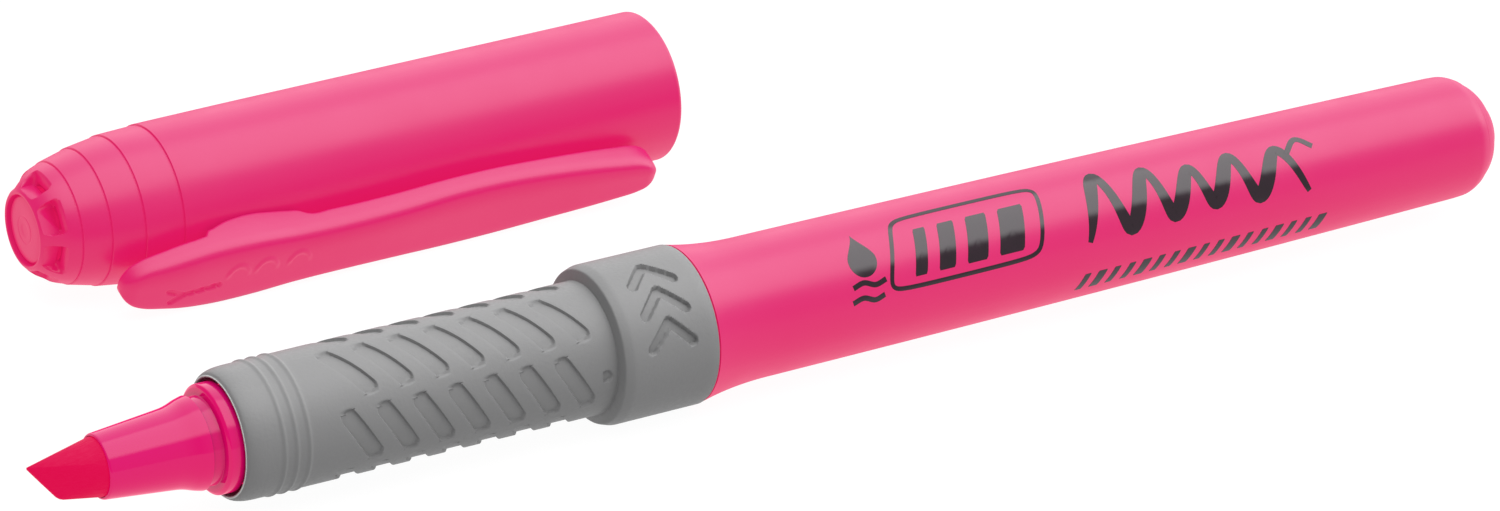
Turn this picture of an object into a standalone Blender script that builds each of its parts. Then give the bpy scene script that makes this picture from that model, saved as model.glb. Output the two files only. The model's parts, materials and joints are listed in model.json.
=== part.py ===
"""Capped grip highlighter: a pen with a soft grip, and its cap lying beside it.

The pen lies along X with its nib towards -X, and the cap lies behind it, a degree off parallel,
with its closed end towards -X. The origin is on the table, under the centre of the bounding box.
Pen stations are measured along X from the rear face of the grip's collar, towards the tail.
Cap stations are measured from the cap's mouth, towards its closed end.
"""

import math

import bmesh
import bpy
from mathutils import Matrix

MM = 0.001

# Whole object
NIB_TIP_STATION = -54.6
TAIL_STATION = 76.2
PEN_TO_CAP = 37.74
CAP_MOUTH_AHEAD = 19.2
CAP_YAW = 1.07
TURN_STEPS = 32
GAP = 0.1
LOOSE_GAP = 0.3

# Grip sleeve
COLLAR_RADIUS = 6.25
COLLAR_LENGTH = 8.2
GRIP_REAR_RADIUS = 5.2
GRIP_FRONT_RADIUS = 5.08
GRIP_FRONT_STATION = -39.4
GRIP_ROUNDING = 1.5
LIP_RADIUS = 4.5
RIDGE_STATIONS = (-34.35, -35.4, -36.4)
RIDGE_HEIGHT = 0.1
RIDGE_HALF_WIDTH = 0.3

# Slots in the grip, in rows around it
SLOT_ROWS = 6
SLOTS_PER_ROW = 7
SLOT_FIRST_STATION = -29.9
SLOT_PITCH = 3.0
SLOT_ROW_ANGLE = 2.7
SLOT_SWEEP = 44.0
SLOT_SLANT = 2.55
SLOT_WIDTH = 1.45
SLOT_DEPTH = 0.4
SLOT_END_TAPER = 0.45

# Barrel
BARREL_FRONT_RADIUS = 6.22
BARREL_WAIST_RADIUS = 5.46
BARREL_TAIL_RADIUS = 4.97
FLARE_LENGTH = 7.0
FLARE_POWER = 2.2
FLARE_POINTS = 6
NECK_RADIUS = 4.15
NECK_FRONT_STATION = -37.6
NECK_BORE = 3.4
BARREL_BORE_FRONT = 4.35
BARREL_BORE_TAIL = 3.9
TAIL_ROUNDING = 2.4
TAIL_ROUNDING_END = 75.18
TAIL_HOLE = 3.65
RIB_COUNT = 4
RIB_WIDTH = 0.8

# Nib holder and nib
FLANGE_RADIUS = 4.2
CONE_TIP_STATION = -49.3
CONE_TIP_RADIUS = 2.44
NIB_RADIUS = 2.25
NIB_STEM_RADIUS = 1.05
NIB_REAR_STATION = -21.0
NIB_EDGE_HALF_THICKNESS = 0.2
NIB_EDGE_TIP = (NIB_TIP_STATION, 0.97)
NIB_EDGE_HEEL = (-52.8, -1.5)
NIB_EDGE_TILT = 59.0

# Ink reservoir
CORE_RADIUS = 3.0
CORE_FRONT = -28.0
CORE_REAR = 60.0
FILM_THICKNESS = 0.18

# Cap
CAP_RADIUS = 6.22
CAP_LENGTH = 56.75
CAP_MOUTH_BORE = 5.5
CAP_MOUTH_ROUNDING = 0.3
STEP_STATIONS = (45.67, 48.95, 51.65, 53.9)
STEP_RADII_BEFORE = (6.17, 5.88, 5.53, 4.97)
STEP_DROP = 0.13
NOSE_RADIUS = 3.1
DISC_RADIUS = 2.8
DISC_STATION = 56.55
WINDOWS = 7
WINDOW_ANGLE = 35.0
WINDOW_START = 55.0
WINDOW_END = 56.35
WINDOW_WIDTH = 2.65
WINDOW_END_WIDTH = 2.05
SEAL_MOUTH_STATION = 33.3

# Pocket clip
CLIP_DROP_ANGLE = 22.0
CLIP_FRONT = 3.1
CLIP_REAR = 52.2
CLIP_END_CUT = 0.9
CLIP_OUTER = 9.04
CLIP_INNER = 6.9
CLIP_HALF_WIDTH = 2.95
CLIP_FRONT_HALF_WIDTH = 2.2
CLIP_WAIST = 0.22
CLIP_WAIST_STATION = 32.0
CLIP_BEVEL = 0.3
CLIP_SEGMENTS = 22
BRIDGE_FRONT = 36.2
BRIDGE_REAR = 44.3
BRIDGE_HALF_WIDTH = 2.3
BRIDGE_FOOT = 6.65
PAD_BOTTOM = 5.7
PIVOT_STATION = 43.8
PIVOT_HEIGHT = 6.5

PEN_X = -(NIB_TIP_STATION + TAIL_STATION) / 2
PEN_Y = -(PEN_TO_CAP + CAP_RADIUS - COLLAR_RADIUS) / 2
CAP_X = PEN_X + CAP_MOUTH_AHEAD
CAP_Y = PEN_Y + PEN_TO_CAP
TO_TAIL = (0.0, math.pi / 2, 0.0)
TO_CROWN = (0.0, -math.pi / 2, 0.0)

PINK = (0.83, 0.07, 0.22)
COLOURS = {
    "pink_plastic": (PINK, 0.38),
    "clear_pink_plastic": ((0.80, 0.05, 0.20), 0.15),
    "grey_rubber": ((0.22, 0.22, 0.22), 0.75),
    "nib_fibre": ((0.80, 0.01, 0.06), 0.80),
    "ink_fibre": ((0.85, 0.20, 0.35), 0.90),
    "wrap_film": ((0.85, 0.75, 0.78), 0.25),
}


def clear_scene():
    for obj in list(bpy.data.objects):
        bpy.data.objects.remove(obj, do_unlink=True)


def new_collection(name):
    collection = bpy.data.collections.new(name)
    bpy.context.scene.collection.children.link(collection)
    return collection


def material(piece, kind):
    colour, roughness = COLOURS[kind]
    made = bpy.data.materials.new(piece + "_material")
    made.use_nodes = True
    shader = made.node_tree.nodes["Principled BSDF"]
    shader.inputs["Base Color"].default_value = (*colour, 1.0)
    shader.inputs["Roughness"].default_value = roughness
    shader.inputs["Metallic"].default_value = 0.0
    return made


def add_object(name, mesh, collection, parent, rotation=(0.0, 0.0, 0.0)):
    obj = bpy.data.objects.new(name, mesh)
    collection.objects.link(obj)
    obj.parent = parent
    obj.rotation_euler = rotation
    return obj


def add_empty(name, place, collection, parent=None, rotation=(0.0, 0.0, 0.0)):
    empty = add_object(name, None, collection, parent, rotation)
    empty.location = [value * MM for value in place]
    return empty


def as_cutter(obj):
    obj.hide_render = True
    obj.display_type = "WIRE"
    return obj


def arc(station, radius, along, across, start, end, points):
    """Points on an ellipse arc; 0 degrees points to higher stations and 90 outwards."""
    angles = [math.radians(start + (end - start) * i / (points - 1)) for i in range(points)]
    return [(station + along * math.cos(a), radius + across * math.sin(a)) for a in angles]


def turned(name, outline, collection, parent, rotation, kind=None):
    """A profile of (station, radius) turned about its axis; it closes unless it ends on the axis."""
    mesh = bpy.data.meshes.new(name)
    points = [(radius * MM, 0.0, station * MM) for station, radius in outline]
    edges = [(i, i + 1) for i in range(len(points) - 1)]
    if outline[0][1] > 0:
        edges.append((len(points) - 1, 0))
    mesh.from_pydata(points, edges, [])
    obj = add_object(name, mesh, collection, parent, rotation)
    screw = obj.modifiers.new("turn", "SCREW")
    screw.axis = "Z"
    screw.steps = TURN_STEPS
    screw.render_steps = TURN_STEPS
    screw.use_merge_vertices = True
    screw.merge_threshold = 0.00001
    screw.use_smooth_shade = True
    if kind:
        mesh.materials.append(material(name, kind))
    return obj


def box(name, low, high, collection, parent, rotation=(0.0, 0.0, 0.0)):
    """A box primitive between two corners in its parent's frame."""
    mesh = bpy.data.meshes.new(name)
    shape = bmesh.new()
    bmesh.ops.create_cube(shape, size=1.0)
    for vert in shape.verts:
        vert.co = [(a + (b - a) * (t + 0.5)) * MM for a, b, t in zip(low, high, vert.co)]
    shape.to_mesh(mesh)
    shape.free()
    return add_object(name, mesh, collection, parent, rotation)


def spun(rotation, angle):
    """A turned piece's rotation, turned further about its own axis, which lies along X."""
    base = Matrix.Rotation(rotation[1], 3, "Y")
    return (Matrix.Rotation(angle, 3, "X") @ base).to_euler()


def boolean(obj, other, operation):
    modifier = obj.modifiers.new(other.name, "BOOLEAN")
    modifier.operation = operation
    modifier.solver = "EXACT"
    modifier.object = other


def barrel_radius(station):
    """Flare behind the collar, then a straight taper to the tail."""
    taper = (station - FLARE_LENGTH) / (TAIL_ROUNDING_END - FLARE_LENGTH)
    radius = BARREL_WAIST_RADIUS + (BARREL_TAIL_RADIUS - BARREL_WAIST_RADIUS) * max(taper, 0.0)
    flare = max(1.0 - station / FLARE_LENGTH, 0.0) ** FLARE_POWER
    return radius + (BARREL_FRONT_RADIUS - BARREL_WAIST_RADIUS) * flare


def make_barrel(parts, cutters, pen):
    rounding_centre = TAIL_ROUNDING_END - TAIL_ROUNDING * math.cos(math.radians(30))
    outline = arc(rounding_centre, BARREL_TAIL_RADIUS - TAIL_ROUNDING, TAIL_ROUNDING, TAIL_ROUNDING, 30, 90, 4)
    for i in range(FLARE_POINTS + 1):
        station = FLARE_LENGTH * (1 - i / FLARE_POINTS) + GAP * i / FLARE_POINTS
        outline.append((station, barrel_radius(station)))
    outline += [
        (GAP, NECK_RADIUS),
        (NECK_FRONT_STATION, NECK_RADIUS),
        (NECK_FRONT_STATION, NECK_BORE),
        (2.0, NECK_BORE),
        (6.0, BARREL_BORE_FRONT),
        (72.0, BARREL_BORE_TAIL),
        (73.0, TAIL_HOLE),
        (TAIL_ROUNDING_END, TAIL_HOLE),
    ]
    barrel = turned("barrel", outline, parts, pen, TO_TAIL, "pink_plastic")
    for i in range(RIB_COUNT):
        low = (-RIB_WIDTH / 2, NECK_BORE, 8.0)
        high = (RIB_WIDTH / 2, BARREL_BORE_FRONT + 0.2, 58.0)
        rotation = spun(TO_TAIL, i * 2 * math.pi / RIB_COUNT)
        rib = as_cutter(box(f"barrel_rib_{i + 1}", low, high, cutters, pen, rotation))
        boolean(barrel, rib, "UNION")
    return barrel


def make_tail_plug(parts, pen):
    head = TAIL_ROUNDING_END + GAP
    outline = [(TAIL_STATION, 0.0)]
    outline += arc(head, 1.9, TAIL_STATION - head, 1.65, 0, 90, 5)
    outline += [(head, TAIL_HOLE - GAP), (70.6, TAIL_HOLE - GAP), (70.0, 2.6), (70.0, 0.0)]
    return turned("tail_plug", outline, parts, pen, TO_TAIL, "pink_plastic")


def flat_slot():
    """A unit bar along X, cut across near its ends so that they can be narrowed."""
    shape = bmesh.new()
    bmesh.ops.create_cube(shape, size=1.0)
    for along in (-0.42, -0.15, 0.15, 0.42):
        everything = list(shape.verts) + list(shape.edges) + list(shape.faces)
        bmesh.ops.bisect_plane(shape, geom=everything, plane_co=(along, 0, 0), plane_no=(1, 0, 0))
    mesh = bpy.data.meshes.new("flat_slot")
    shape.to_mesh(mesh)
    shape.free()
    return mesh


def wrapped(point, station, angle):
    """A point of the flat bar, wrapped around the grip on a slant."""
    along, across, depth = point
    turn = math.radians(angle + SLOT_SWEEP * along)
    width = SLOT_WIDTH * (SLOT_END_TAPER if abs(along) > 0.45 else 1.0)
    radius = GRIP_REAR_RADIUS + depth * 2 * SLOT_DEPTH
    height = station - SLOT_SLANT * along + width * across
    return (-radius * math.sin(turn) * MM, -radius * math.cos(turn) * MM, height * MM)


def make_slot_cutters(cutters, pen):
    flat = flat_slot()
    shape = bmesh.new()
    for row in range(SLOT_ROWS):
        angle = SLOT_ROW_ANGLE + row * 360 / SLOT_ROWS
        for i in range(SLOTS_PER_ROW):
            first = len(shape.verts)
            shape.from_mesh(flat)
            shape.verts.ensure_lookup_table()
            for vert in shape.verts[first:]:
                vert.co = wrapped(vert.co, SLOT_FIRST_STATION + i * SLOT_PITCH, angle)
    bmesh.ops.recalc_face_normals(shape, faces=shape.faces)
    mesh = bpy.data.meshes.new("grip_slots")
    shape.to_mesh(mesh)
    shape.free()
    bpy.data.meshes.remove(flat)
    return as_cutter(add_object("grip_slots", mesh, cutters, pen, TO_TAIL))


def make_grip_sleeve(parts, cutters, pen):
    shoulder = -COLLAR_LENGTH
    outline = [(0.0, COLLAR_RADIUS - 0.1), (-0.15, COLLAR_RADIUS)]
    outline += arc(shoulder + 0.9, COLLAR_RADIUS - 0.75, 0.9, 0.75, 90, 180, 4)
    outline.append((shoulder - 0.3, GRIP_REAR_RADIUS))
    for station in RIDGE_STATIONS:
        share = (station - shoulder) / (GRIP_FRONT_STATION - shoulder)
        radius = GRIP_REAR_RADIUS + (GRIP_FRONT_RADIUS - GRIP_REAR_RADIUS) * share
        outline += [
            (station + RIDGE_HALF_WIDTH, radius),
            (station, radius + RIDGE_HEIGHT),
            (station - RIDGE_HALF_WIDTH, radius),
        ]
    centre = GRIP_FRONT_STATION + GRIP_ROUNDING
    outline += arc(centre, LIP_RADIUS, GRIP_ROUNDING, GRIP_FRONT_RADIUS - LIP_RADIUS, 90, 180, 5)
    outline += [(NECK_FRONT_STATION - GAP, LIP_RADIUS), (NECK_FRONT_STATION - GAP, NECK_RADIUS + GAP)]
    outline.append((0.0, NECK_RADIUS + GAP))
    grip = turned("grip_sleeve", outline, parts, pen, TO_TAIL, "grey_rubber")
    boolean(grip, make_slot_cutters(cutters, pen), "DIFFERENCE")
    return grip


def make_nib_holder(parts, pen):
    back = NECK_FRONT_STATION - GAP
    outline = [
        (-30.0, NECK_BORE - GAP),
        (back, NECK_BORE - GAP),
        (back, FLANGE_RADIUS),
        (-40.3, FLANGE_RADIUS),
        (-40.8, FLANGE_RADIUS - 0.2),
        (-40.95, 3.62),
        (-41.3, 3.5),
        (-41.6, 3.56),
        (-42.2, 3.42),
        (-42.9, 3.2),
        (-43.7, 3.05),
        (CONE_TIP_STATION, CONE_TIP_RADIUS),
        (CONE_TIP_STATION, NIB_RADIUS + GAP),
        (-45.7, NIB_RADIUS + GAP),
        (-45.7, NIB_STEM_RADIUS + LOOSE_GAP),
        (-30.0, NIB_STEM_RADIUS + LOOSE_GAP),
    ]
    return turned("nib_holder", outline, parts, pen, TO_TAIL, "clear_pink_plastic")


def make_nib_tip(cutters, pen):
    """The chisel: the hull between the nib's round body and its slanted writing edge."""
    mesh = bpy.data.meshes.new("nib_tip")
    shape = bmesh.new()
    for i in range(TURN_STEPS):
        turn = 2 * math.pi * i / TURN_STEPS
        place = (NIB_RADIUS * math.cos(turn), NIB_RADIUS * math.sin(turn), CONE_TIP_STATION + 0.3)
        shape.verts.new([value * MM for value in place])
    tilt = math.radians(NIB_EDGE_TILT)
    for station, height in (NIB_EDGE_TIP, NIB_EDGE_HEEL):
        for side in (-NIB_EDGE_HALF_THICKNESS, NIB_EDGE_HALF_THICKNESS):
            y = height * math.cos(tilt) - side * math.sin(tilt)
            z = height * math.sin(tilt) + side * math.cos(tilt)
            shape.verts.new((-z * MM, y * MM, station * MM))
    bmesh.ops.convex_hull(shape, input=shape.verts)
    bmesh.ops.recalc_face_normals(shape, faces=shape.faces)
    shape.to_mesh(mesh)
    shape.free()
    return as_cutter(add_object("nib_tip", mesh, cutters, pen, TO_TAIL))


def make_chisel_nib(parts, cutters, pen):
    outline = [
        (NIB_REAR_STATION, 0.0),
        (NIB_REAR_STATION, NIB_STEM_RADIUS),
        (-45.9, NIB_STEM_RADIUS),
        (-46.0, NIB_RADIUS),
        (CONE_TIP_STATION + 0.1, NIB_RADIUS),
        (CONE_TIP_STATION + 0.1, 0.0),
    ]
    nib = turned("chisel_nib", outline, parts, pen, TO_TAIL, "nib_fibre")
    boolean(nib, make_nib_tip(cutters, pen), "UNION")
    return nib


def make_reservoir(parts, pen):
    outline = [
        (CORE_REAR, 0.0),
        (CORE_REAR, CORE_RADIUS),
        (CORE_FRONT, CORE_RADIUS),
        (CORE_FRONT, NIB_STEM_RADIUS + GAP),
        (NIB_REAR_STATION + LOOSE_GAP, NIB_STEM_RADIUS + GAP),
        (NIB_REAR_STATION + LOOSE_GAP, 0.0),
    ]
    turned("ink_reservoir", outline, parts, pen, TO_TAIL, "ink_fibre")
    inner = CORE_RADIUS + 0.05
    outer = inner + FILM_THICKNESS
    film = [(CORE_REAR - 1, inner), (CORE_REAR - 1, outer), (CORE_FRONT + 1, outer), (CORE_FRONT + 1, inner)]
    turned("reservoir_film", film, parts, pen, TO_TAIL, "wrap_film")


def window_cutter(name, angle, cutters, cap):
    """A tapered block through the nose wall, wider at the window's mouth-side end."""
    half = WINDOW_WIDTH / 2
    low = (-half, 2.9, WINDOW_START)
    high = (half, 6.0, WINDOW_END)
    rotation = spun(TO_CROWN, math.pi - math.radians(angle))
    cutter = as_cutter(box(name, low, high, cutters, cap, rotation))
    for vert in cutter.data.vertices:
        if vert.co.z > (WINDOW_START + WINDOW_END) / 2 * MM:
            vert.co.x *= WINDOW_END_WIDTH / WINDOW_WIDTH
    return cutter


def make_cap_shell(parts, cutters, cap):
    outline = arc(CAP_LENGTH - 0.15, NOSE_RADIUS - 0.15, 0.15, 0.15, 0, 90, 3)
    outline += [(56.3, 3.55), (55.7, 4.1), (54.9, 4.55)]
    for station, before in zip(reversed(STEP_STATIONS), reversed(STEP_RADII_BEFORE)):
        outline += [(station + 0.1, before - STEP_DROP), (station, before)]
    rounding = CAP_MOUTH_ROUNDING
    outline.append((40.0, CAP_RADIUS))
    outline += arc(rounding, CAP_RADIUS - rounding, rounding, rounding, 90, 180, 4)
    outline += [
        (0.0, CAP_MOUTH_BORE + 0.15),
        (0.3, CAP_MOUTH_BORE),
        (45.7, 5.35),
        (49.0, 5.05),
        (51.6, 4.65),
        (53.9, 4.1),
        (54.9, 3.6),
        (55.7, DISC_RADIUS + GAP),
        (CAP_LENGTH, DISC_RADIUS + GAP),
    ]
    shell = turned("cap_shell", outline, parts, cap, TO_CROWN, "pink_plastic")
    for i in range(WINDOWS):
        angle = WINDOW_ANGLE + i * 360 / WINDOWS
        boolean(shell, window_cutter(f"vent_window_{i + 1}", angle, cutters, cap), "DIFFERENCE")
    return shell


def make_inner_seal(parts, cap):
    outline = [
        (DISC_STATION - 0.15, 0.0),
        (DISC_STATION - 0.15, 0.65),
        (DISC_STATION, 0.8),
        (DISC_STATION, DISC_RADIUS - 0.15),
        (DISC_STATION - 0.2, DISC_RADIUS),
        (54.4, DISC_RADIUS),
        (51.0, 3.8),
        (46.0, 4.15),
        (SEAL_MOUTH_STATION, 4.3),
        (SEAL_MOUTH_STATION, 3.8),
        (46.0, 3.6),
        (50.7, 3.2),
        (53.8, 2.2),
        (DISC_STATION - 0.7, 2.1),
        (DISC_STATION - 0.7, 0.0),
    ]
    return turned("cap_inner_seal", outline, parts, cap, TO_CROWN, "pink_plastic")


def clip_half_width(station):
    """Half width of the leaf: full at the bridge, a slight waist, narrower at the free end."""
    middle = (CLIP_FRONT + CLIP_REAR) / 2
    reach = (station - middle) / (CLIP_REAR - middle)
    rise = min(max((station - 5.0) / 17.0, 0.0), 1.0)
    rise = rise * rise * (3 - 2 * rise)
    width = CLIP_FRONT_HALF_WIDTH + (CLIP_HALF_WIDTH - CLIP_FRONT_HALF_WIDTH) * rise
    width -= CLIP_WAIST * math.exp(-(((station - CLIP_WAIST_STATION) / 5.0) ** 2))
    return width * math.sqrt(max(1.0 - abs(reach) ** 7, 0.0))


def make_clip(parts, cutters, pivot):
    """A leaf sheet solidified inwards and bevelled, with the bridge's block joined under it."""
    mesh = bpy.data.meshes.new("pocket_clip")
    shape = bmesh.new()
    bmesh.ops.create_grid(shape, x_segments=CLIP_SEGMENTS, y_segments=2, size=1.0)
    for vert in shape.verts:
        reach = math.sin(math.pi / 2 * CLIP_END_CUT * vert.co.x)
        station = (CLIP_REAR + CLIP_FRONT) / 2 - (CLIP_REAR - CLIP_FRONT) / 2 * reach
        across = clip_half_width(station) * vert.co.y
        vert.co = ((PIVOT_STATION - station) * MM, across * MM, (CLIP_OUTER - PIVOT_HEIGHT) * MM)
    shape.to_mesh(mesh)
    shape.free()
    clip = add_object("pocket_clip", mesh, parts, pivot)
    mesh.materials.append(material("pocket_clip", "pink_plastic"))
    solid = clip.modifiers.new("thickness", "SOLIDIFY")
    solid.thickness = (CLIP_OUTER - CLIP_INNER) * MM
    solid.offset = -1.0
    bevel = clip.modifiers.new("edges", "BEVEL")
    bevel.width = CLIP_BEVEL * MM
    bevel.segments = 2
    bevel.limit_method = "ANGLE"
    bevel.angle_limit = math.radians(50)
    low = (PIVOT_STATION - BRIDGE_REAR, -BRIDGE_HALF_WIDTH, BRIDGE_FOOT - PIVOT_HEIGHT)
    high = (PIVOT_STATION - BRIDGE_FRONT, BRIDGE_HALF_WIDTH, CLIP_INNER - PIVOT_HEIGHT + 0.5)
    boolean(clip, as_cutter(box("clip_bridge", low, high, cutters, pivot)), "UNION")
    return clip


def make_clip_pad(shell, cutters, pivot):
    """The raised pad on the cap that the clip's bridge stands over."""
    low = (PIVOT_STATION - BRIDGE_REAR + 0.2, -BRIDGE_HALF_WIDTH + 0.1, PAD_BOTTOM - PIVOT_HEIGHT)
    high = (PIVOT_STATION - BRIDGE_FRONT - 0.2, BRIDGE_HALF_WIDTH - 0.1, BRIDGE_FOOT - LOOSE_GAP - PIVOT_HEIGHT)
    boolean(shell, as_cutter(box("clip_pad", low, high, cutters, pivot)), "UNION")


def main():
    clear_scene()
    parts = new_collection("grip_highlighter")
    cutters = new_collection("cutters")
    pen = add_empty("pen", (PEN_X, PEN_Y, COLLAR_RADIUS), parts)
    cap = add_empty("cap", (CAP_X, CAP_Y, CAP_RADIUS), parts, None, (0.0, 0.0, math.radians(CAP_YAW)))
    drop = math.radians(CLIP_DROP_ANGLE)
    place = (-PIVOT_STATION, -PIVOT_HEIGHT * math.cos(drop), -PIVOT_HEIGHT * math.sin(drop))
    pivot = add_empty("clip_pivot", place, parts, cap, (math.pi / 2 + drop, 0.0, 0.0))

    make_barrel(parts, cutters, pen)
    make_tail_plug(parts, pen)
    make_grip_sleeve(parts, cutters, pen)
    make_nib_holder(parts, pen)
    make_chisel_nib(parts, cutters, pen)
    make_reservoir(parts, pen)
    shell = make_cap_shell(parts, cutters, cap)
    make_inner_seal(parts, cap)
    make_clip_pad(shell, cutters, pivot)
    make_clip(parts, cutters, pivot)
    bpy.context.view_layer.update()


main()
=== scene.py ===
"""Looks of the capped grip highlighter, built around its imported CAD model.

Lengths are in mm and turned into metres where a mesh is made. A place on the pen is a station,
measured from the rear face of the grip's collar towards the tail, with a radius and an angle. A
place on the cap is a station measured from its mouth towards its closed end. Angles start at -Y,
the near side, and a quarter turn is straight up. A place on the clip is a cap station, a distance
across the leaf and a height away from the cap's axis.
"""

import json
import math

import bmesh
import bpy
import numpy as np
from mathutils import Matrix, Vector


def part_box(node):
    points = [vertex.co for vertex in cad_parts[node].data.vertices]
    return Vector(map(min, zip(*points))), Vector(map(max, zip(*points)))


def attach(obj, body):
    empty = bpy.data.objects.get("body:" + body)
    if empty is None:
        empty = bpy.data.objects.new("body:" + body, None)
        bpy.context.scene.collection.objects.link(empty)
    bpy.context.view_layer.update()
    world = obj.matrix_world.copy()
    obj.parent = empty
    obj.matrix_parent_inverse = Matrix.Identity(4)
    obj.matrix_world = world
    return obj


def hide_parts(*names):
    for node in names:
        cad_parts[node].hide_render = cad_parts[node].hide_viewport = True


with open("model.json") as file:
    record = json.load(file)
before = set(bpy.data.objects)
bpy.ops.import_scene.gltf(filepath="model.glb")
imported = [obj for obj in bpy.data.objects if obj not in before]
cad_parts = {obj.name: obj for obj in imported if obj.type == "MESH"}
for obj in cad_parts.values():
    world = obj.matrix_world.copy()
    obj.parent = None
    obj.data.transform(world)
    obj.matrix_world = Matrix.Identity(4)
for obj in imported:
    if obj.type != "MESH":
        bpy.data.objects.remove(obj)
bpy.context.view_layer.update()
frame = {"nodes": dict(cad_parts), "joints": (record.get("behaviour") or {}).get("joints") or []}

MM = 0.001
TAU = 2 * math.pi
STEPS = 256
GRIP_STEPS = 312


def middle(node):
    low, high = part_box(node)
    return (low + high) / 2


def reach_along(node, direction):
    """The least and greatest distance of a CAD node's corners along a direction."""
    obj = frame["nodes"][node]
    reaches = [(obj.matrix_world @ vert.co).dot(direction) for vert in obj.data.vertices]
    return min(reaches), max(reaches)


# ------------------------------------------------------------ driving sizes, from the frame

grip_low, grip_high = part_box("grip_sleeve")
holder_low, holder_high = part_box("nib_holder")
shell_low, shell_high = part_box("cap_shell")

pull_axis = next(joint for joint in frame["joints"] if joint["name"] == "cap_pull")["axis"]
CAP_AXIS = -Vector(pull_axis)
CAP_SIDE = Vector((-CAP_AXIS.y, CAP_AXIS.x, 0.0))
mouth = reach_along("cap_shell", CAP_AXIS)[1]
seal_span = reach_along("cap_inner_seal", CAP_AXIS)
clip_span = reach_along("pocket_clip", CAP_AXIS)

PEN = Vector((grip_high.x, middle("grip_sleeve").y, middle("grip_sleeve").z))
CAP = CAP_AXIS * mouth + CAP_SIDE * (sum(reach_along("cap_inner_seal", CAP_SIDE)) / 2)
CAP.z = middle("cap_shell").z
COLLAR_RADIUS = (grip_high.z - grip_low.z) / 2 / MM
TAIL_CROWN = 0.25       # how far the rounded tail stands past the solid's flat end
BARREL_END = (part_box("barrel")[1].x - PEN.x) / MM + TAIL_CROWN
PLUG_END = (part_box("tail_plug")[1].x - PEN.x) / MM + TAIL_CROWN
GRIP_FRONT = (grip_low.x - PEN.x) / MM
NIB_TIP = (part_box("chisel_nib")[0].x - PEN.x) / MM
CONE_TIP = (holder_low.x - PEN.x) / MM
FLANGE_RADIUS = (holder_high.z - holder_low.z) / 2 / MM
CAP_LENGTH = (mouth - reach_along("cap_shell", CAP_AXIS)[0]) / MM
CAP_RADIUS = (shell_high.z - shell_low.z) / 2 / MM
SEAL_START = (mouth - seal_span[1]) / MM
SEAL_END = (mouth - seal_span[0]) / MM
CLIP_FRONT_TRIM = 0.35  # how much shorter the leaf is than the solid at its free end
CLIP_REAR_REACH = 0.15  # how much longer it is at the other end
CLIP_FRONT = (mouth - clip_span[1]) / MM + CLIP_FRONT_TRIM
CLIP_REAR = (mouth - clip_span[0]) / MM + CLIP_REAR_REACH

# ------------------------------------------------------------ barrel, grip and nib sizes

BARREL_FRONT_RADIUS = COLLAR_RADIUS - 0.03
BARREL_WAIST_RADIUS = 5.46
BARREL_SWELL = 0.145    # how much fuller the barrel is at its middle than a straight taper
BARREL_TAIL_RADIUS = 4.97
TAIL_ROUNDING = 2.2
TAIL_HOLE = 3.65
FLARE_LENGTH = 7.0
NECK_RADIUS = 4.15
NECK_FRONT = -37.6
NECK_BORE = 3.4
BARREL_BORE_FRONT = 4.35
BARREL_BORE_TAIL = 3.9
PLUG_FRONT = 70.0
SLEEVE_BORE = 4.25
SLEEVE_BORE_FRONT = -37.7
GRIP_REAR_RADIUS = 5.2
GRIP_FRONT_RADIUS = 5.08
GRIP_ROUNDING = 1.5
LIP_RADIUS = 4.5
SHOULDER = -8.35
SHOULDER_TOP = -7.4
RIDGE_STATIONS = (-34.35, -35.4, -36.4)
RIDGE_HEIGHT = 0.11
RIDGE_HALF_WIDTH = 0.16
SLOT_ROWS = 6
SLOTS_PER_ROW = 7
SLOT_FIRST = -29.9
SLOT_PITCH = 3.0
SLOT_ROW_ANGLE = 1.9    # degrees, of the first row's middle
SLOT_SWEEP = 49.5       # degrees round the sleeve that one slot takes
SLOT_SLANT = 2.8        # how far a slot leans along the sleeve over its sweep
SLOT_WIDTH = 1.36
SLOT_DEPTH = 0.23
SLOT_WALL = 0.08        # width of the slope from the surface down to a slot's floor
CHEVRON_ANGLES = (26.0, 50.0, 74.0)
CHEVRON_STATION = -4.0
CHEVRON_DEPTH = 0.34
GATE_ANGLE = 2.3
GATE_STATION = -9.32
GATE_RADIUS = 0.52
GATE_DEPTH = 0.22
NIB_RADIUS = 2.25
NIB_STEM_RADIUS = 1.05
NIB_TURN = math.radians(59)     # how far the writing edge is turned from lying flat

# ------------------------------------------------------------ cap sizes

STEP_STATIONS = (45.67, 48.95, 51.65, 53.9)
STEP_RADII = (6.18, 6.0, 5.55, 4.95)
STEP_DROP = 0.09
STEP_GROOVE = 0.05
NOSE_RADIUS = 3.1
DISC_RADIUS = 2.8
WINDOWS = 7
WINDOW_ANGLE = 35.0
WINDOW_START = 55.0
WINDOW_END = 56.66
WINDOW_HALF_WIDTHS = (1.5, 1.15)
WINDOW_FLOOR = (3.1, 3.22)
WINDOW_REACH = 6.5
CLIP_DROP = math.radians(22)    # how far below level the leaf sits on the cap's near side
PAD_FOOT = 5.7
PAD_HEIGHT = 6.3                # of the flat that the bridge stands on
PAD_HALF_WIDTH = 2.1
SADDLE_HEIGHT = 6.37            # of the bridge's inner face over that flat
SKIRT_CLEARANCE = 6.33          # radius round the cap that the leaf keeps out of beside it
EDGE_POWER = 3.8                # how square the leaf's upper edge is, 2 being an ellipse
LOWER_EDGE_POWER = 9.0
CLIP_SWELL = 0.3                # how far the leaf stands out past the solid's outer face
BRIDGE_FRONT = 36.2
BRIDGE_REAR = 44.3


# ------------------------------------------------------------ shapes

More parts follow.
